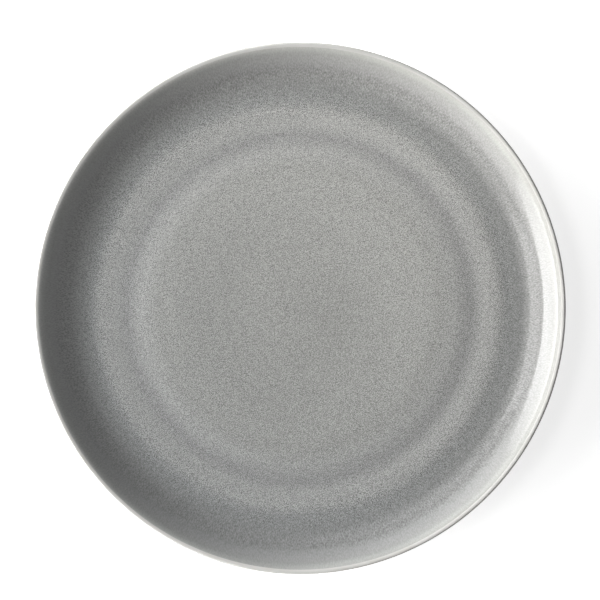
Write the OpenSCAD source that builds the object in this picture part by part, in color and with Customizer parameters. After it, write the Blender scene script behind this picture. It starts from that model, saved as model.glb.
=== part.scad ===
// Coupe dinner plate: a fired clay body that stands on its own foot ring, and the three
// coats of glaze that are melted onto it. Millimetres, +Z up. The origin lies on the table,
// under the centre of the plate. Every outer size below is taken over the glaze.

/* [Plate] */
// Diameter over the lip
plate_d = 270; // [250:1:310]
// Height from the table to the top of the lip
plate_h = 19; // [17.5:0.5:26]
// Thickness of the base at the centre of the well
base_t = 5.3; // [4.4:0.1:6.2]
// Thickness of the wall at its foot
wall_t = 4.6; // [3.6:0.1:5.6]

/* [Wall] */
// Width of the wall, from the outside of the lip in to the gutter at its foot
wall_w = 22; // [20:0.5:30]
// Radius of the curve at the foot of the wall
lower_turn_r = 17; // [12:0.5:22]
// Steepness of the flank between the wall's two curves, in degrees from level
flank_angle = 19.5; // [16:0.5:23]
// Width of the flank
flank_w = 2.8; // [1:0.2:4.2]
// Radius of the curve above the flank
upper_turn_r = 13; // [9:0.5:17]
// Steepness of the wall above both curves, in degrees from level
turn_angle = 33.5; // [29:0.5:38]
// Steepness of the wall at the lip, in degrees from level
lip_angle = 35; // [30:1:44]

/* [Lip] */
// Radius of the wide round over the top of the lip
lip_top_r = 5.4; // [4:0.2:8]
// Radius of the small round at the lip's outer edge
lip_edge_r = 1; // [0.7:0.1:1.4]
// Steepness on the lip's top round where the grey coat ends, in degrees from level
coat_end_angle = 15; // [8:1:24]

/* [Well] */
// Width of the level gutter at the foot of the wall
gutter_w = 4; // [2:0.5:6]
// Width of the fall from the outer throwing ring to the gutter
fall_w = 8.5; // [5:0.5:12]
// Width of the step from the groove up to the outer throwing ring
step_w = 12; // [8:0.5:18]
// Width of the fall from the inner throwing ring to the groove
groove_w = 11; // [8:0.5:18]
// Width of the dished band inside the inner throwing ring
dish_w = 52; // [36:1:66]
// Rise of the dished band from the level middle of the well to the inner throwing ring
dish_h = 1.65; // [0.8:0.05:2.6]
// Depth of the groove below the inner throwing ring
groove_h = 0.2; // [0.05:0.01:0.6]
// Rise of the step from the groove to the outer throwing ring
step_h = 0.4; // [0.2:0.05:1]
// Depth of the gutter below the outer throwing ring
fall_h = 0.2; // [0.05:0.01:0.6]

/* [Foot ring] */
// Distance from the edge of the well in to the outside of the foot ring
foot_inset = 27; // [18:0.5:44]
// Width of the foot ring
foot_w = 4.2; // [3.4:0.1:6]
// Height of the recess beside the foot ring
foot_h = 3.8; // [3:0.1:4.8]
// How much lower the base hangs at its centre than beside the foot ring
sag_h = 0.8; // [0.2:0.1:1.4]
// Radius of the foot ring's edges at the table
foot_edge_r = 0.6; // [0.3:0.1:0.8]
// Radius of the hollow corner between the foot ring and the base
foot_fillet_r = 1.4; // [0.6:0.1:1.8]
// Height of the bare clay that the glaze leaves free above the table
bare_h = 1; // [0.8:0.1:1.2]

/* [Glaze] */
// Thickness of a coat of glaze
glaze_t = 0.3; // [0.2:0.05:0.5]

/* [Hidden] */
$fn = 180;

// Straight stretches that stand for each curve of the outline
ring_steps = 8;
turn_steps = 6;
wall_steps = 6;
lip_top_steps = 6;
lip_edge_steps = 8;
corner_steps = 5;

// Share of its length that each end of a free curve keeps its direction
pull_share = 1 / 3;

// Direction of the outline where the wall meets the lip, and the one square to it
lip_along = [cos(lip_angle), sin(lip_angle)];
lip_across = [-sin(lip_angle), cos(lip_angle)];

// Radii of the well's rings, from the outside in
well_r = plate_d / 2 - wall_w;
gutter_r = well_r - gutter_w;
outer_ring_r = gutter_r - fall_w;
groove_r = outer_ring_r - step_w;
inner_ring_r = groove_r - groove_w;
level_r = inner_ring_r - dish_w;

// Heights of the clay, one coat of glaze inside the sizes above
recess_z = foot_h + glaze_t;
recess_centre_z = recess_z - sag_h;
floor_z = foot_h - sag_h + base_t - glaze_t;
inner_ring_z = floor_z + dish_h;
groove_z = inner_ring_z - groove_h;
outer_ring_z = groove_z + step_h;
gutter_z = outer_ring_z - fall_h;

// The clay's own wall, lip and foot ring, one coat of glaze inside the sizes above
clay_foot_t = wall_t - 2 * glaze_t;
clay_top_r = lip_top_r - glaze_t;
clay_edge_r = lip_edge_r - glaze_t;
clay_lip_t = clay_top_r * (1 - cos(lip_angle)) + clay_edge_r * (1 + cos(lip_angle));
foot_outer_r = well_r - foot_inset - glaze_t;
foot_inner_r = well_r - foot_inset - foot_w + glaze_t;

// Centres of the lip's two rounds, and the end of the wall where they start
top_centre = [plate_d / 2 - lip_edge_r, plate_h - lip_top_r];
edge_centre = [plate_d / 2 - lip_edge_r, plate_h - lip_edge_r];
wall_top = top_centre + clay_top_r * lip_across;

// Centres of the wall's two curves, with the flank from the end of one to the start of the next
lower_centre = [well_r, gutter_z + lower_turn_r];
upper_centre = lower_centre + [flank_w, flank_w * tan(flank_angle)]
    + (upper_turn_r - lower_turn_r) * [-sin(flank_angle), cos(flank_angle)];
turn_top = upper_centre + upper_turn_r * [sin(turn_angle), -cos(turn_angle)];

// Share of a rise that is done at a share of its run, level at both ends
function eased_share(run_share) = run_share * run_share * (3 - 2 * run_share);

// Points of an eased rise between two points, without the first
function ring_curve(from, to) = [
    for (i = [1:ring_steps])
        let (share = i / ring_steps)
        [from[0] + (to[0] - from[0]) * share, from[1] + (to[1] - from[1]) * eased_share(share)]
];

// Points of an arc, from one angle to another
function arc_curve(centre, radius, from, to, steps) = [
    for (i = [0:steps])
        let (angle = from + (to - from) * i / steps)
        centre + radius * [cos(angle), sin(angle)]
];

// Points of a free curve that leaves and arrives in the given directions, without its ends
function free_curve(from, from_along, to, to_along, steps) =
    let (pull = pull_share * norm(to - from))
    [
        for (i = [1:steps - 1])
            let (t = i / steps, rest = 1 - t)
            from * rest ^ 3 + (from + pull * from_along) * 3 * rest ^ 2 * t
                + (to - pull * to_along) * 3 * rest * t ^ 2 + to * t ^ 3
    ];

function tail(points) = [for (i = [1:len(points) - 1]) points[i]];

function reversed(points) = [for (i = [len(points) - 1:-1:0]) points[i]];

// Outward direction of the outline at a point, square to the line through its neighbours
function outward(points, i) =
    let (step = points[min(i + 1, len(points) - 1)] - points[max(i - 1, 0)])
    [-step[1], step[0]] / norm(step);

// A layer on the outside of the outline: its points, each moved outwards
function layer(points, thickness, first, last) = [
    for (i = [first:last])
        points[i] + thickness * outward(points, i)
];

// The clay's eating face: level middle, dish, two throwing rings, gutter and wall, up to the lip
well_points = concat(
    [[0, floor_z], [level_r, floor_z]],
    ring_curve([level_r, floor_z], [inner_ring_r, inner_ring_z]),
    ring_curve([inner_ring_r, inner_ring_z], [groove_r, groove_z]),
    ring_curve([groove_r, groove_z], [outer_ring_r, outer_ring_z]),
    ring_curve([outer_ring_r, outer_ring_z], [gutter_r, gutter_z])
);
wall_points = concat(
    arc_curve(lower_centre, lower_turn_r, -90, flank_angle - 90, turn_steps),
    arc_curve(upper_centre, upper_turn_r, flank_angle - 90, turn_angle - 90, turn_steps),
    free_curve(turn_top, [cos(turn_angle), sin(turn_angle)], wall_top, lip_along, wall_steps),
    [wall_top]
);

// The lip's wide round up to where the grey coat ends, the rest of it, and its outer edge
lip_inner_points = arc_curve(top_centre, clay_top_r, lip_angle + 90, coat_end_angle + 90,
    lip_top_steps);
lip_crest_points = arc_curve(top_centre, clay_top_r, coat_end_angle + 90, 90, lip_top_steps);
lip_edge_points = arc_curve(edge_centre, clay_edge_r, 90, lip_angle - 90, lip_edge_steps);
face_points = concat(well_points, wall_points, tail(lip_inner_points));
lip_points = concat(tail(lip_crest_points), tail(lip_edge_points));

// The outside of the wall: the inside moved outwards by a thickness that grows down the wall
function wall_thickness(i) =
    clay_foot_t + (clay_lip_t - clay_foot_t) * i / (len(wall_points) - 1);
outside_points = [
    for (i = [len(wall_points) - 1:-1:1])
        wall_points[i] - wall_thickness(i) * outward(wall_points, i)
];

// The foot ring: hollow corner, side, edge, standing face, and the same inside
foot_outer_points = concat(
    arc_curve([foot_outer_r + foot_fillet_r, recess_z - foot_fillet_r], foot_fillet_r, 90, 180,
        corner_steps),
    [[foot_outer_r, bare_h]]
);
foot_inner_points = concat(
    [[foot_inner_r, bare_h]],
    arc_curve([foot_inner_r - foot_fillet_r, recess_z - foot_fillet_r], foot_fillet_r, 0, 90,
        corner_steps)
);
foot_edge_points = concat(
    arc_curve([foot_outer_r - foot_edge_r, foot_edge_r], foot_edge_r, 0, -90, corner_steps),
    arc_curve([foot_inner_r + foot_edge_r, foot_edge_r], foot_edge_r, -90, -180, corner_steps)
);

// The roof of the recess, which hangs lowest at its centre
recess_points = ring_curve([foot_inner_r - foot_fillet_r, recess_z], [0, recess_centre_z]);

// The whole clay outline, from the axis on the eating face round to the axis in the recess
clay_points = concat(
    face_points,
    lip_points,
    outside_points,
    foot_outer_points,
    foot_edge_points,
    foot_inner_points,
    recess_points
);

// Where each coat starts and ends along the clay outline
face_last = len(face_points) - 1;
outer_last = face_last + len(lip_points) + len(outside_points) + len(foot_outer_points);
base_first = outer_last + len(foot_edge_points) + 1;
base_last = len(clay_points) - 1;

// A coat of glaze on one stretch of the clay
module coat(first, last) {
    clay_side = [for (i = [first:last]) clay_points[i]];
    rotate_extrude() polygon(concat(clay_side, reversed(layer(clay_points, glaze_t, first, last))));
}

// Pale clay, thrown or pressed in one piece with its foot ring and fired
module body() {
    color("#e6e2da") rotate_extrude() polygon(clay_points);
}

// Grey coat on the eating face, up to the lip
module face_glaze() {
    color("#9c9c99") coat(0, face_last);
}

// Pale coat over the lip, down the outside and onto the foot ring
module outer_glaze() {
    color("#dcdcd6") coat(face_last, outer_last);
}

// Pale coat on the base inside the foot ring
module base_glaze() {
    color("#d6d6d0") coat(base_first, base_last);
}

body();
face_glaze();
outer_glaze();
base_glaze();
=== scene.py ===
# Coupe dinner plate: the fired clay, its grey face glaze and its pale outer glaze, dressed for
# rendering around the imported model. Sizes are millimetres until a mesh is made.
import math

import bpy
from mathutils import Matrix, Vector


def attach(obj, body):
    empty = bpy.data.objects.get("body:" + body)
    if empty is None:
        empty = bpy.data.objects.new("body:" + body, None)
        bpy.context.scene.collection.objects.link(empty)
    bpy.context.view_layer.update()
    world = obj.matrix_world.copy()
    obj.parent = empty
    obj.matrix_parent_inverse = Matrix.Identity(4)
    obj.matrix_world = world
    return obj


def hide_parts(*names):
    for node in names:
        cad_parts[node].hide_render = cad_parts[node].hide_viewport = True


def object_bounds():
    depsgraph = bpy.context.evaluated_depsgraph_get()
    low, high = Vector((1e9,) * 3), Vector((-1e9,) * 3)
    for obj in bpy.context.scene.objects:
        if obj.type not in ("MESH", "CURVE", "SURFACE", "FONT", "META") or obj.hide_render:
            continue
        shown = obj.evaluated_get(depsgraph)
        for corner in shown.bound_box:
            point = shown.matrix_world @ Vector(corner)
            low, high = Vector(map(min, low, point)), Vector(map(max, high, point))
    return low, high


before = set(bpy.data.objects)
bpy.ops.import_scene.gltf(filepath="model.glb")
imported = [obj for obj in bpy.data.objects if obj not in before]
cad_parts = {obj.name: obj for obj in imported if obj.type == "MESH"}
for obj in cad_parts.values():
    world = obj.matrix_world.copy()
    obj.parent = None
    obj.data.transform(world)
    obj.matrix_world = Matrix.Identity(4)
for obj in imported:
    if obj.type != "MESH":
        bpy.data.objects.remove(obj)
cad_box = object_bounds()
MM = 0.001

# Camera and view. The plate is seen from straight above, a little below the middle of the
# picture, from far enough away that its wall hides nothing.
PICTURE_PX = 600
PLATE_ACROSS_PX = 532.4
PLATE_CENTRE_PX = (299.8, 308.3)
CAMERA_HEIGHT = 1800
SENSOR = 36

plate_r = cad_box[1][0] / MM
plate_h = cad_box[1][2] / MM
picture_width = PICTURE_PX * 2 * plate_r / PLATE_ACROSS_PX
mm_per_px = picture_width / PICTURE_PX
camera_data = bpy.data.cameras.new("camera")
camera_data.sensor_width = SENSOR
camera_data.lens = SENSOR * (CAMERA_HEIGHT - plate_h) / picture_width
camera = bpy.data.objects.new("camera", camera_data)
camera.location = (
    (PICTURE_PX / 2 - PLATE_CENTRE_PX[0]) * mm_per_px * MM,
    (PLATE_CENTRE_PX[1] - PICTURE_PX / 2) * mm_per_px * MM,
    CAMERA_HEIGHT * MM,
)
bpy.context.collection.objects.link(camera)
bpy.context.scene.camera = camera
bpy.context.scene.view_settings.view_transform = "Standard"


# Clay body: white-firing stoneware, thrown with its foot ring as one piece, trimmed and fired.
# It shows only on the foot ring, which is wiped clean of glaze so that the plate stands on
# bare, smooth clay.
BASE_T = 5.3
WALL_T = 4.6

# The wall with its two curves, and the lip, from the edge of the well outwards. Angles are
# degrees from level. The grey coat ends on the lip's top round.
WALL_W = 22
LOWER_TURN_R = 17
FLANK_ANGLE = 19.5
FLANK_W = 2.8
UPPER_TURN_R = 13
TURN_ANGLE = 33.5
LIP_ANGLE = 35
LIP_TOP_R = 5.4
LIP_EDGE_R = 1.0
COAT_END_ANGLE = 15

# The rings of the well, from the wall inwards.
GUTTER_W = 4
FALL_W = 8.5
STEP_W = 12
GROOVE_W = 11
DISH_W = 52
DISH_H = 1.65
GROOVE_H = 0.2
STEP_H = 0.4
FALL_H = 0.2

# The foot ring, the sag of the base inside it, the bare clay on it, and a coat of glaze.
FOOT_INSET = 27
FOOT_W = 4.2
FOOT_H = 3.8
SAG_H = 0.8
FOOT_EDGE_R = 0.6
FOOT_FILLET_R = 1.4
BARE_H = 1.0
GLAZE_T = 0.3

# How finely each curve is drawn and the outline is turned, how near points are merged, and how
# sharp an edge has to be to stay crisp.
PULL_SHARE = 1 / 3
RING_STEPS = 16
TURN_STEPS = 12
WALL_STEPS = 12
LIP_TOP_STEPS = 8
LIP_EDGE_STEPS = 12
CORNER_STEPS = 6
TURNED_STEPS = 256
MERGE_DISTANCE = 0.02
CRISP_ANGLE = 40


def eased(share):
    """Share of a rise done at a share of its run, level at both ends."""
    return share * share * (3 - 2 * share)


def ring_curve(start, end):
    """Points of an eased rise between two (radius, height) points, without the first."""
    points = []
    for i in range(1, RING_STEPS + 1):
        share = i / RING_STEPS
        radius = start[0] + (end[0] - start[0]) * share
        points.append((radius, start[1] + (end[1] - start[1]) * eased(share)))
    return points


def arc_curve(centre, radius, start, end, steps):
    """Points of an arc about a centre, from one angle in degrees to another."""
    points = []
    for i in range(steps + 1):
        angle = math.radians(start + (end - start) * i / steps)
        points.append((centre[0] + radius * math.cos(angle), centre[1] + radius * math.sin(angle)))
    return points


def free_curve(start, start_angle, end, end_angle, steps):
    """Points of a curve that leaves and arrives at the given angles, without its ends."""
    pull = PULL_SHARE * math.dist(start, end)
    leave, arrive = math.radians(start_angle), math.radians(end_angle)
    near = (start[0] + pull * math.cos(leave), start[1] + pull * math.sin(leave))
    far = (end[0] - pull * math.cos(arrive), end[1] - pull * math.sin(arrive))
    points = []
    for i in range(1, steps):
        t = i / steps
        shares = ((1 - t) ** 3, 3 * (1 - t) ** 2 * t, 3 * (1 - t) * t * t, t ** 3)
        points.append(tuple(
            sum(share * point[k] for share, point in zip(shares, (start, near, far, end)))
            for k in (0, 1)
        ))
    return points


def moved_out(points, i, distance):
    """Point i of an outline, moved outwards, square to the line through its neighbours."""
    before, after = points[max(i - 1, 0)], points[min(i + 1, len(points) - 1)]
    along = (after[0] - before[0], after[1] - before[1])
    share = distance / math.hypot(*along)
    return (points[i][0] - share * along[1], points[i][1] + share * along[0])


# Radii and heights of the clay, one coat of glaze inside the sizes above, and its eating face.
well_r = plate_r - WALL_W
gutter_r = well_r - GUTTER_W
outer_ring_r = gutter_r - FALL_W
groove_r = outer_ring_r - STEP_W
inner_ring_r = groove_r - GROOVE_W
level_r = inner_ring_r - DISH_W
recess_z = FOOT_H + GLAZE_T
floor_z = FOOT_H - SAG_H + BASE_T - GLAZE_T
groove_z = floor_z + DISH_H - GROOVE_H
gutter_z = groove_z + STEP_H - FALL_H
well = [(level_r * i / RING_STEPS, floor_z) for i in range(RING_STEPS + 1)]
well += ring_curve(well[-1], (inner_ring_r, floor_z + DISH_H))
well += ring_curve(well[-1], (groove_r, groove_z))
well += ring_curve(well[-1], (outer_ring_r, groove_z + STEP_H))
well += ring_curve(well[-1], (gutter_r, gutter_z))

# The wall and the lip's rounds. The lip's top is parted where the grey coat ends.
top_r = LIP_TOP_R - GLAZE_T
edge_r = LIP_EDGE_R - GLAZE_T
top_centre = (plate_r - LIP_EDGE_R, plate_h - LIP_TOP_R)
edge_centre = (plate_r - LIP_EDGE_R, plate_h - LIP_EDGE_R)
lip_inner = arc_curve(top_centre, top_r, LIP_ANGLE + 90, COAT_END_ANGLE + 90, LIP_TOP_STEPS)
lip_crest = arc_curve(top_centre, top_r, COAT_END_ANGLE + 90, 90, LIP_TOP_STEPS)
lip_edge = arc_curve(edge_centre, edge_r, 90, LIP_ANGLE - 90, LIP_EDGE_STEPS)
flank = math.radians(FLANK_ANGLE)
lower_centre = (well_r, gutter_z + LOWER_TURN_R)
turn_shift = LOWER_TURN_R - UPPER_TURN_R
upper_centre = (
    lower_centre[0] + FLANK_W + turn_shift * math.sin(flank),
    lower_centre[1] + FLANK_W * math.tan(flank) - turn_shift * math.cos(flank),
)
wall = arc_curve(lower_centre, LOWER_TURN_R, -90, FLANK_ANGLE - 90, TURN_STEPS)
wall += arc_curve(upper_centre, UPPER_TURN_R, FLANK_ANGLE - 90, TURN_ANGLE - 90, TURN_STEPS)
wall += free_curve(wall[-1], TURN_ANGLE, lip_inner[0], LIP_ANGLE, WALL_STEPS)
wall.append(lip_inner[0])

# The outside of the wall, which gets thicker from the lip down to the foot of the wall.
lean = math.cos(math.radians(LIP_ANGLE))
foot_t = WALL_T - 2 * GLAZE_T
lip_t = top_r * (1 - lean) + edge_r * (1 + lean)
outside = []
for i in range(len(wall) - 1, 0, -1):
    outside.append(moved_out(wall, i, -foot_t - (lip_t - foot_t) * i / (len(wall) - 1)))

# The foot ring and the recess inside it.
foot_outer_r = well_r - FOOT_INSET - GLAZE_T
foot_inner_r = well_r - FOOT_INSET - FOOT_W + GLAZE_T
outer_fillet = (foot_outer_r + FOOT_FILLET_R, recess_z - FOOT_FILLET_R)
inner_fillet = (foot_inner_r - FOOT_FILLET_R, recess_z - FOOT_FILLET_R)
outer_edge = (foot_outer_r - FOOT_EDGE_R, FOOT_EDGE_R)
inner_edge = (foot_inner_r + FOOT_EDGE_R, FOOT_EDGE_R)
foot_outer = arc_curve(outer_fillet, FOOT_FILLET_R, 90, 180, CORNER_STEPS)
foot_outer.append((foot_outer_r, BARE_H))
foot_edge = arc_curve(outer_edge, FOOT_EDGE_R, 0, -90, CORNER_STEPS)
foot_edge += arc_curve(inner_edge, FOOT_EDGE_R, -90, -180, CORNER_STEPS)
foot_inner = [(foot_inner_r, BARE_H)]
foot_inner += arc_curve(inner_fillet, FOOT_FILLET_R, 0, 90, CORNER_STEPS)
recess = ring_curve(foot_inner[-1], (0, recess_z - SAG_H))

# The whole outline, from the axis on the eating face round to the axis in the recess, and where
# each coat of glaze starts and ends along it.
clay_face = well + wall + lip_inner[1:]
clay_outside = lip_crest[1:] + lip_edge[1:] + outside + foot_outer
clay_outline = clay_face + clay_outside + foot_edge + foot_inner + recess
face_last = len(clay_face) - 1
outer_last = face_last + len(clay_outside)
base_first = outer_last + len(foot_edge) + 1
base_last = len(clay_outline) - 1


def drawn_line(name, points):
    """A new object, left in edit mode, that holds one line of edges through the points."""
    bpy.ops.object.select_all(action="DESELECT")
    bpy.ops.mesh.primitive_plane_add(size=MM)
    line = bpy.context.object
    line.name = name
    bpy.ops.object.mode_set(mode="EDIT")
    bpy.ops.mesh.select_all(action="SELECT")
    bpy.ops.mesh.merge(type="CENTER")
    bpy.ops.transform.translate(value=[length * MM for length in points[0]])
    for start, end in zip(points, points[1:]):
        step = [(after - before) * MM for before, after in zip(start, end)]
        bpy.ops.mesh.extrude_region_move(TRANSFORM_OT_translate={"value": step})
    bpy.ops.mesh.select_all(action="SELECT")
    return line


def turned(name, outline):
    """A closed solid spun about the plate's axis from its outline, as on the wheel."""
    piece = drawn_line(name, [(radius, 0, height) for radius, height in outline])
    bpy.ops.mesh.spin(steps=TURNED_STEPS, angle=math.tau, center=(0, 0, 0), axis=(0, 0, 1))
    bpy.ops.mesh.select_all(action="SELECT")
    bpy.ops.mesh.remove_doubles(threshold=MERGE_DISTANCE * MM)
    bpy.ops.mesh.normals_make_consistent(inside=False)
    bpy.ops.object.mode_set(mode="OBJECT")
    bpy.ops.object.shade_smooth_by_angle(angle=math.radians(CRISP_ANGLE))
    return piece


def linear(hex_colour):
    """A colour for a shader, from its sRGB hex value by the sRGB curve."""
    channels = []
    for k in (1, 3, 5):
        value = int(hex_colour[k:k + 2], 16) / 255
        channels.append(value / 12.92 if value <= 0.04045 else ((value + 0.055) / 1.055) ** 2.4)
    return (*channels, 1)


def set_inputs(material, node, inputs):
    """A node's inputs, each given a value or fed by another node's output."""
    for key, value in inputs.items():
        if isinstance(value, bpy.types.NodeSocket):
            material.node_tree.links.new(value, node.inputs[key])
        else:
            node.inputs[key].default_value = value


def add_node(material, kind, inputs=None, stops=(), **settings):
    """A node with its settings and inputs, and for a ramp its stops of a place and a colour."""
    node = material.node_tree.nodes.new(kind)
    for key, value in settings.items():
        setattr(node, key, value)
    set_inputs(material, node, inputs or {})
    for i, (place, colour) in enumerate(stops):
        elements = node.color_ramp.elements
        element = elements.new(place) if 0 < i < len(stops) - 1 else elements[i]
        element.position = place
        element.color = colour
    return node


def new_material(name):
    """A new material, and the shader that it starts with."""
    material = bpy.data.materials.new(name)
    material.use_nodes = True
    return material, material.node_tree.nodes["Principled BSDF"]


# Bare stoneware is matt and warm, and its grit, as coarse as sand, mottles and roughens it.
GRIT = 0.8
GRIT_RELIEF = 0.05
GRIT_STRENGTH = 0.6
CLAY_TONES = ((0.3, "#C9BFB0"), (0.6, "#E6DFD3"))
CLAY_ROUGHNESS = 0.75

clay = turned("clay_body", clay_outline)
bare_clay, shader = new_material("fired_stoneware")
where = add_node(bare_clay, "ShaderNodeTexCoord").outputs["Object"]
grit = add_node(bare_clay, "ShaderNodeTexNoise", {
    "Vector": where, "Scale": 1 / (GRIT * MM), "Detail": 3.0}).outputs["Fac"]
tone = add_node(bare_clay, "ShaderNodeValToRGB", {"Fac": grit}, [
    (place, linear(colour)) for place, colour in CLAY_TONES])
relief = add_node(bare_clay, "ShaderNodeBump", {
    "Height": grit, "Distance": GRIT_RELIEF * MM, "Strength": GRIT_STRENGTH})
set_inputs(bare_clay, shader, {
    "Base Color": tone.outputs["Color"], "Normal": relief.outputs["Normal"],
    "Roughness": CLAY_ROUGHNESS})
clay.data.materials.append(bare_clay)
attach(clay, "root")
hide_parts("body")


# Face glaze: a grey reactive glaze sprayed over the whole eating face and melted on, 0.3 mm
# thick. It runs off the raised rings and pools in the grooves, and breaks into fine speckles.
def coat(name, first, last):
    """A coat of glaze, a closed layer over one stretch of the clay's outline."""
    clay_side = [clay_outline[i] for i in range(first, last + 1)]
    glaze_side = [moved_out(clay_outline, i, GLAZE_T) for i in range(first, last + 1)]
    outline = glaze_side + clay_side[::-1]

    # A coat that doesn't reach the plate's axis is a ring, so its outline is closed.
    if first > 0 and last < base_last:
        outline.append(glaze_side[0])
    return turned(name, outline)


face = coat("face_glaze_coat", 0, face_last)
grey_glaze, shader = new_material("grey_reactive_glaze")
where = add_node(grey_glaze, "ShaderNodeTexCoord").outputs["Object"]
axes = add_node(grey_glaze, "ShaderNodeSeparateXYZ", {"Vector": where}).outputs
flat = add_node(grey_glaze, "ShaderNodeCombineXYZ", {"X": axes["X"], "Y": axes["Y"]}).outputs["Vector"]
radius = add_node(grey_glaze, "ShaderNodeVectorMath", {0: flat}, operation="LENGTH").outputs["Value"]

# The two levels between which nearly all of a noise lies.
NOISE_LOW = 0.25
NOISE_HIGH = 0.75


def spread(level, low, high):
    """A noise's level, spread so that nearly all of it lies between two values."""
    return add_node(grey_glaze, "ShaderNodeMapRange", {
        "Value": level, "From Min": NOISE_LOW, "From Max": NOISE_HIGH,
        "To Min": low, "To Max": high}).outputs["Result"]


# The tone of each ring of the plate, from the middle of the well out to the lip, by its radius:
# paler where the glaze thins over a throwing ring or the lip, darker where it pools beside one.
# On the wall it also holds painted light: a band of painted shade just below where the wall
# mirrors the softbox, and tones toward the lip raised as painted highlight, which carry that
# mirrored light on up to the edge.
# The rings wander a little, as the glaze ran.
RING_TONES_AND_PAINTED_LIGHT = (
    (0, "#9D9D9A"), (48, "#A2A29F"), (66, "#A4A4A1"), (72, "#A1A19E"),
    (80, "#A8A8A6"), (88, "#989897"), (94, "#A7A7A5"), (101, "#A7A7A5"),
    (106, "#979897"), (111, "#939493"), (119, "#8F8F8E"), (122, "#8D8D8C"),
    (126, "#979796"), (129.5, "#9B9B99"), (131.5, "#AEAEAB"), (134, "#CACAC6"),
)
RING_WANDER = 0.7
RING_WANDER_LENGTH = 60

wander = add_node(grey_glaze, "ShaderNodeTexNoise", {
    "Vector": flat, "Scale": 1 / (RING_WANDER_LENGTH * MM), "Detail": 1.0}).outputs["Fac"]
ring_place = add_node(grey_glaze, "ShaderNodeMath", {
    0: radius, 1: 1 / (plate_r * MM), 2: spread(wander, -RING_WANDER / plate_r, RING_WANDER / plate_r)},
    operation="MULTIPLY_ADD").outputs["Value"]


def by_radius(stops):
    """A colour that changes over the radius, from stops of a radius and a colour."""
    return add_node(grey_glaze, "ShaderNodeValToRGB", {"Fac": ring_place}, [
        (stop_radius / plate_r, colour) for stop_radius, colour in stops]).outputs["Color"]


# The ring tone, with the painted shade and painted highlight on the wall.
ring_tone_and_painted_light = by_radius([(ring_radius, linear(colour)) for ring_radius, colour in RING_TONES_AND_PAINTED_LIGHT])

# Soft clouds, which the thrower's last turns of the wheel wind into a faint swirl at the centre.
CLOUD_LENGTH = 26
CLOUD_SHARE = 0.028
SWIRL_TURNS_PER_MM = 0.009

swirl_angle = add_node(grey_glaze, "ShaderNodeMath", {
    0: radius, 1: SWIRL_TURNS_PER_MM * math.tau / MM}, operation="MULTIPLY").outputs["Value"]
swirled = add_node(grey_glaze, "ShaderNodeVectorRotate", {
    "Vector": flat, "Angle": swirl_angle}, rotation_type="Z_AXIS").outputs["Vector"]
clouds = add_node(grey_glaze, "ShaderNodeTexNoise", {
    "Vector": swirled, "Scale": 1 / (CLOUD_LENGTH * MM), "Detail": 2.0}).outputs["Fac"]
cloud_gain = spread(clouds, 1 - CLOUD_SHARE, 1 + CLOUD_SHARE)

# Painted light: the coat is drawn paler toward one side of the plate and darker toward the
# other, as light falls off across it. It is also a trace warmer to another side, and cooler
# across from it. Sides are degrees about the plate's axis.
PAINTED_LIGHT_SIDE = 118
PAINTED_LIGHT_REACH = 75
PAINTED_LIGHT_SHARE = 0.11
WARM_SIDE = 50
COOL_TINT = (0.982, 1.0, 1.012)
WARM_TINT = (1.01, 1.004, 0.984)

# Map Range's vector inputs share the names of its plain ones, so they go by their numbers.
FROM_MIN, FROM_MAX, TO_MIN, TO_MAX = 7, 8, 9, 10


def toward(side):
    """How far a place lies from the plate's axis toward a side."""
    way = math.radians(side)
    return add_node(grey_glaze, "ShaderNodeVectorMath", {
        0: flat, 1: (math.cos(way), math.sin(way), 0)}, operation="DOT_PRODUCT").outputs["Value"]


# The painted light: paler toward one side of the plate, darker toward the other.
painted_light_gain = add_node(grey_glaze, "ShaderNodeMapRange", {
    "Value": toward(PAINTED_LIGHT_SIDE), "From Min": -PAINTED_LIGHT_REACH * MM, "From Max": PAINTED_LIGHT_REACH * MM,
    "To Min": 1 - PAINTED_LIGHT_SHARE, "To Max": 1 + PAINTED_LIGHT_SHARE},
    interpolation_type="SMOOTHSTEP").outputs["Result"]
tint = add_node(grey_glaze, "ShaderNodeMapRange", {
    "Vector": toward(WARM_SIDE), FROM_MIN: (-plate_r * MM,) * 3, FROM_MAX: (plate_r * MM,) * 3,
    TO_MIN: COOL_TINT, TO_MAX: WARM_TINT}, data_type="FLOAT_VECTOR").outputs["Vector"]

# Crystals the size of fine sand: even specks in the well, drawn out into short streaks down the
# wall, where the glaze ran. The real ones are finer than a pixel, so they are drawn as coarse as
# they need to show. The specks are cut through their noise on a slant, which hides its grid.
SPECK = 0.4
SPECK_SLANT = (0.6, 0.8, 0)
STREAK_WIDTH = 0.5
STREAK_LENGTH = 0.9
STREAK_START = 104
STREAK_FULL = 122
SPECK_SHARES = (
    (0, 0.62), (96, 0.62), (102, 0.78), (108, 0.8),
    (114, 0.5), (121, 0.32), (125, 0.14), (134, 0.05),
)

slant = add_node(grey_glaze, "ShaderNodeVectorMath", {0: flat, 1: SPECK_SLANT}, operation="DOT_PRODUCT")
speck_place = add_node(grey_glaze, "ShaderNodeCombineXYZ", {
    "X": axes["X"], "Y": axes["Y"], "Z": slant.outputs["Value"]})
specks = add_node(grey_glaze, "ShaderNodeTexNoise", {
    "Vector": speck_place.outputs["Vector"], "Scale": 1 / (SPECK * MM), "Detail": 0.0})
outward_way = add_node(grey_glaze, "ShaderNodeVectorMath", {0: flat}, operation="NORMALIZE")
round_the_wall = add_node(grey_glaze, "ShaderNodeVectorMath", {
    0: outward_way.outputs["Vector"], "Scale": plate_r / STREAK_WIDTH}, operation="SCALE")
down_the_wall = add_node(grey_glaze, "ShaderNodeMath", {
    0: radius, 1: 1 / (STREAK_LENGTH * MM)}, operation="MULTIPLY")
down_way = add_node(grey_glaze, "ShaderNodeCombineXYZ", {"Z": down_the_wall.outputs["Value"]})
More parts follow.
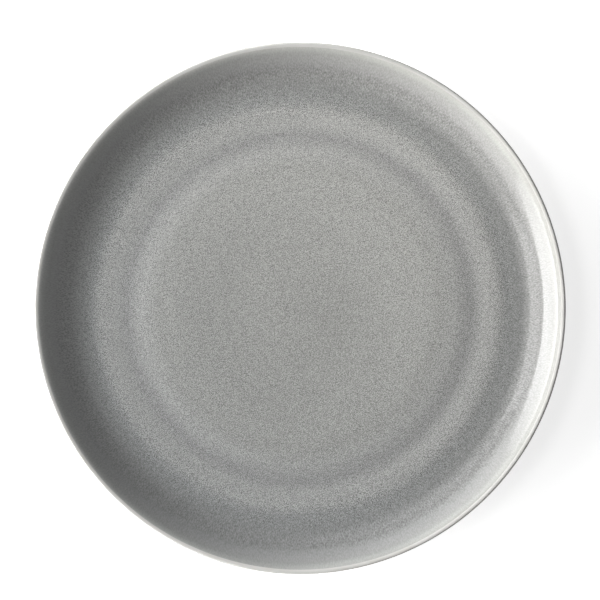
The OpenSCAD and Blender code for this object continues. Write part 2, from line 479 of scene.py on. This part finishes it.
streak_place = add_node(grey_glaze, "ShaderNodeVectorMath", {
    0: round_the_wall.outputs["Vector"], 1: down_way.outputs["Vector"]}, operation="ADD")
streaks = add_node(grey_glaze, "ShaderNodeTexNoise", {
    "Vector": streak_place.outputs["Vector"], "Scale": 1.0, "Detail": 0.0})
streak_part = add_node(grey_glaze, "ShaderNodeMapRange", {
    "Value": radius, "From Min": STREAK_START * MM, "From Max": STREAK_FULL * MM}).outputs["Result"]
grain = add_node(grey_glaze, "ShaderNodeMix", {
    "Factor": streak_part, "A": specks.outputs["Fac"], "B": streaks.outputs["Fac"]}).outputs["Result"]
grain_share = by_radius([
    (share_radius, (share, share, share, 1)) for share_radius, share in SPECK_SHARES])
grain_gain = add_node(grey_glaze, "ShaderNodeMath", {
    0: spread(grain, -1.0, 1.0), 1: grain_share, 2: 1.0}, operation="MULTIPLY_ADD")

# The glaze's colour is the ring's tone with its painted shade and highlight, times the tint
# and all the gains, the painted light to one side among them.
clouds_and_painted_light_gain = add_node(grey_glaze, "ShaderNodeMath", {0: cloud_gain, 1: painted_light_gain}, operation="MULTIPLY")
gain = add_node(grey_glaze, "ShaderNodeMath", {
    0: clouds_and_painted_light_gain.outputs["Value"], 1: grain_gain.outputs["Value"]}, operation="MULTIPLY")
tinted = add_node(grey_glaze, "ShaderNodeVectorMath", {0: ring_tone_and_painted_light, 1: tint}, operation="MULTIPLY")
mottled = add_node(grey_glaze, "ShaderNodeVectorMath", {
    0: tinted.outputs["Vector"], "Scale": gain.outputs["Value"]}, operation="SCALE")

# The crystals stand a little proud in the well, and hardly on the wall, so the gloss has a fine
# skin that breaks up what it mirrors.
SKIN_RELIEF = 0.015
SKIN_WELL_STRENGTH = 1.0
SKIN_WALL_STRENGTH = 0.1
GLAZE_IOR = 1.5
GREY_ROUGHNESS = 0.05

skin_strength = add_node(grey_glaze, "ShaderNodeMapRange", {
    "Value": streak_part, "To Min": SKIN_WELL_STRENGTH, "To Max": SKIN_WALL_STRENGTH})
skin = add_node(grey_glaze, "ShaderNodeBump", {
    "Height": grain, "Distance": SKIN_RELIEF * MM, "Strength": skin_strength.outputs["Result"]})
set_inputs(grey_glaze, shader, {
    "Base Color": mottled.outputs["Vector"], "Normal": skin.outputs["Normal"],
    "Roughness": GREY_ROUGHNESS, "IOR": GLAZE_IOR})
face.data.materials.append(grey_glaze)
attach(face, "root")
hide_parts("face_glaze")


# Outer and base glaze: the pale, glossy glaze that the plate is dipped in first. It shows on
# the lip, where the grey coat ends, and under the plate as far as the bare foot. It is milky,
# a little thicker in some places than in others.
MILKY_LENGTH = 14
PALE_TONES = ((0.3, "#D1D0CB"), (0.7, "#DAD9D6"))
PALE_ROUGHNESS = 0.08

outer = coat("outer_glaze_coat", face_last, outer_last)
base = coat("base_glaze_coat", base_first, base_last)
pale_glaze, shader = new_material("pale_gloss_glaze")
where = add_node(pale_glaze, "ShaderNodeTexCoord").outputs["Object"]
milkiness = add_node(pale_glaze, "ShaderNodeTexNoise", {
    "Vector": where, "Scale": 1 / (MILKY_LENGTH * MM), "Detail": 3.0}).outputs["Fac"]
tone = add_node(pale_glaze, "ShaderNodeValToRGB", {"Fac": milkiness}, [
    (place, linear(colour)) for place, colour in PALE_TONES])
set_inputs(pale_glaze, shader, {
    "Base Color": tone.outputs["Color"], "Roughness": PALE_ROUGHNESS, "IOR": GLAZE_IOR})
for piece, node in ((outer, "outer_glaze"), (base, "base_glaze")):
    piece.data.materials.append(pale_glaze)
    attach(piece, "root")
    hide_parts(node)


# Floor and light: a white table; on the left a wide softbox with cut upper corners, hottest in
# its lower part, whose dimmer top band the plate's wall mirrors as its highlight; a faint patch
# of lit ceiling above it; and a dim, even room.
TABLE_ACROSS = 8000
TABLE_COLOUR = "#F2F2F2"
TABLE_ROUGHNESS = 0.9
TABLE_LIFT = 0.7
ROOM_RADIANCE = 0.115
PANEL_DISTANCE = 2000
PANEL_TURN = 178
PATCH_OUTLINE = ((-430, -310), (-430, 310), (430, 310), (430, -310))
PATCH_ELEVATION = 59
PATCH_RADIANCE = 3.3
SOFTBOX_OUTLINE = (
    (-3000, 0), (-3000, 820), (-1700, 960), (-1300, 1080), (-700, 1150),
    (740, 1150), (1300, 1080), (1600, 940), (1800, 820), (1800, 0),
)

# The softbox's radiance by height, and how its band fades sideways.
SOFTBOX_RADIANCES = (
    (300, 18.8), (480, 22.8), (700, 19.8), (850, 3.8),
    (905, 4), (934, 6.6), (995, 8), (1150, 8),
)
BAND_START = 850
BAND_FULL = 960
BAND_MIDDLE = 200
BAND_SIDE = 1300
BAND_SIDE_SHARE = 0.45


def shown_white(tree_owner):
    """1 for the rays that show the background: straight, mirrored or through glass."""
    path = add_node(tree_owner, "ShaderNodeLightPath").outputs
    mirrored = add_node(tree_owner, "ShaderNodeMath", {
        0: path["Is Camera Ray"], 1: path["Is Glossy Ray"]}, operation="ADD")
    shown = add_node(tree_owner, "ShaderNodeMath", {
        0: mirrored.outputs["Value"], 1: path["Is Transmission Ray"]}, operation="ADD", use_clamp=True)
    return shown.outputs["Value"]


def glowing_panel(name, outline, elevation, middle_height, distance):
    """A glowing panel that faces the plate from the left, tilted down by its elevation."""
    panel = drawn_line(name, [(x, y, 0) for x, y in outline])
    bpy.ops.mesh.edge_face_add()
    bpy.ops.object.mode_set(mode="OBJECT")
    turn = math.radians(PANEL_TURN)
    panel.rotation_euler = (math.radians(90 - elevation), 0, turn + math.pi / 2)
    middle = (distance * math.cos(turn), distance * math.sin(turn), middle_height)
    panel.location = [length * MM for length in middle]
    bpy.ops.object.transform_apply(location=True, rotation=True, scale=True)
    panel.visible_camera = False
    glow, shader = new_material(name)
    set_inputs(glow, shader, {"Base Color": (0, 0, 0, 1), "Emission Color": (1, 1, 1, 1)})
    panel.data.materials.append(glow)
    return glow, shader


# The table glows by its lift only where it is seen or mirrored, so that it comes out white there,
# keeps the plate's shadow and throws no extra light on the plate.
bpy.ops.object.select_all(action="DESELECT")
bpy.ops.mesh.primitive_plane_add(size=TABLE_ACROSS * MM)
floor = bpy.context.object
floor.name = "floor"
table, shader = new_material("white_table")
lift = add_node(table, "ShaderNodeMath", {0: shown_white(table), 1: TABLE_LIFT}, operation="MULTIPLY")
set_inputs(table, shader, {
    "Base Color": linear(TABLE_COLOUR), "Roughness": TABLE_ROUGHNESS,
    "Emission Color": (1, 1, 1, 1), "Emission Strength": lift.outputs["Value"]})
floor.data.materials.append(table)

glow, shader = glowing_panel("softbox", SOFTBOX_OUTLINE, 0, 0, PANEL_DISTANCE)
where = add_node(glow, "ShaderNodeTexCoord").outputs["Object"]
axes = add_node(glow, "ShaderNodeSeparateXYZ", {"Vector": where}).outputs
softbox_top = SOFTBOX_RADIANCES[-1][0]
hottest = max(radiance for height, radiance in SOFTBOX_RADIANCES)
rise = add_node(glow, "ShaderNodeMath", {0: axes["Z"], 1: 1 / (softbox_top * MM)}, operation="MULTIPLY")
fade = add_node(glow, "ShaderNodeValToRGB", {"Fac": rise.outputs["Value"]}, [
    (height / softbox_top, (*(radiance / hottest,) * 3, 1)) for height, radiance in SOFTBOX_RADIANCES])
sideways = add_node(glow, "ShaderNodeMath", {0: axes["Y"]}, operation="ABSOLUTE")
side_strength = add_node(glow, "ShaderNodeMapRange", {
    "Value": sideways.outputs["Value"], "From Min": BAND_MIDDLE * MM, "From Max": BAND_SIDE * MM,
    "To Min": hottest, "To Max": BAND_SIDE_SHARE * hottest}, interpolation_type="SMOOTHSTEP")
band_part = add_node(glow, "ShaderNodeMapRange", {
    "Value": axes["Z"], "From Min": BAND_START * MM, "From Max": BAND_FULL * MM})
full_strength = add_node(glow, "ShaderNodeMix", {
    "Factor": band_part.outputs["Result"], "A": hottest, "B": side_strength.outputs["Result"]})
strength = add_node(glow, "ShaderNodeMath", {
    0: fade.outputs["Color"], 1: full_strength.outputs["Result"]}, operation="MULTIPLY")
set_inputs(glow, shader, {"Emission Strength": strength.outputs["Value"]})

patch_rise = math.radians(PATCH_ELEVATION)
glow, shader = glowing_panel(
    "ceiling_patch", PATCH_OUTLINE, PATCH_ELEVATION,
    PANEL_DISTANCE * math.sin(patch_rise), PANEL_DISTANCE * math.cos(patch_rise))
set_inputs(glow, shader, {"Emission Strength": PATCH_RADIANCE})

# The room is dim to the object, and white, a strength of 1, where the background shows.
world = bpy.data.worlds.new("room")
bpy.context.scene.world = world
world.use_nodes = True
level = add_node(world, "ShaderNodeMapRange", {
    "Value": shown_white(world), "To Min": ROOM_RADIANCE, "To Max": 1.0})
set_inputs(world, world.node_tree.nodes["Background"], {
    "Color": (1, 1, 1, 1), "Strength": level.outputs["Result"]})
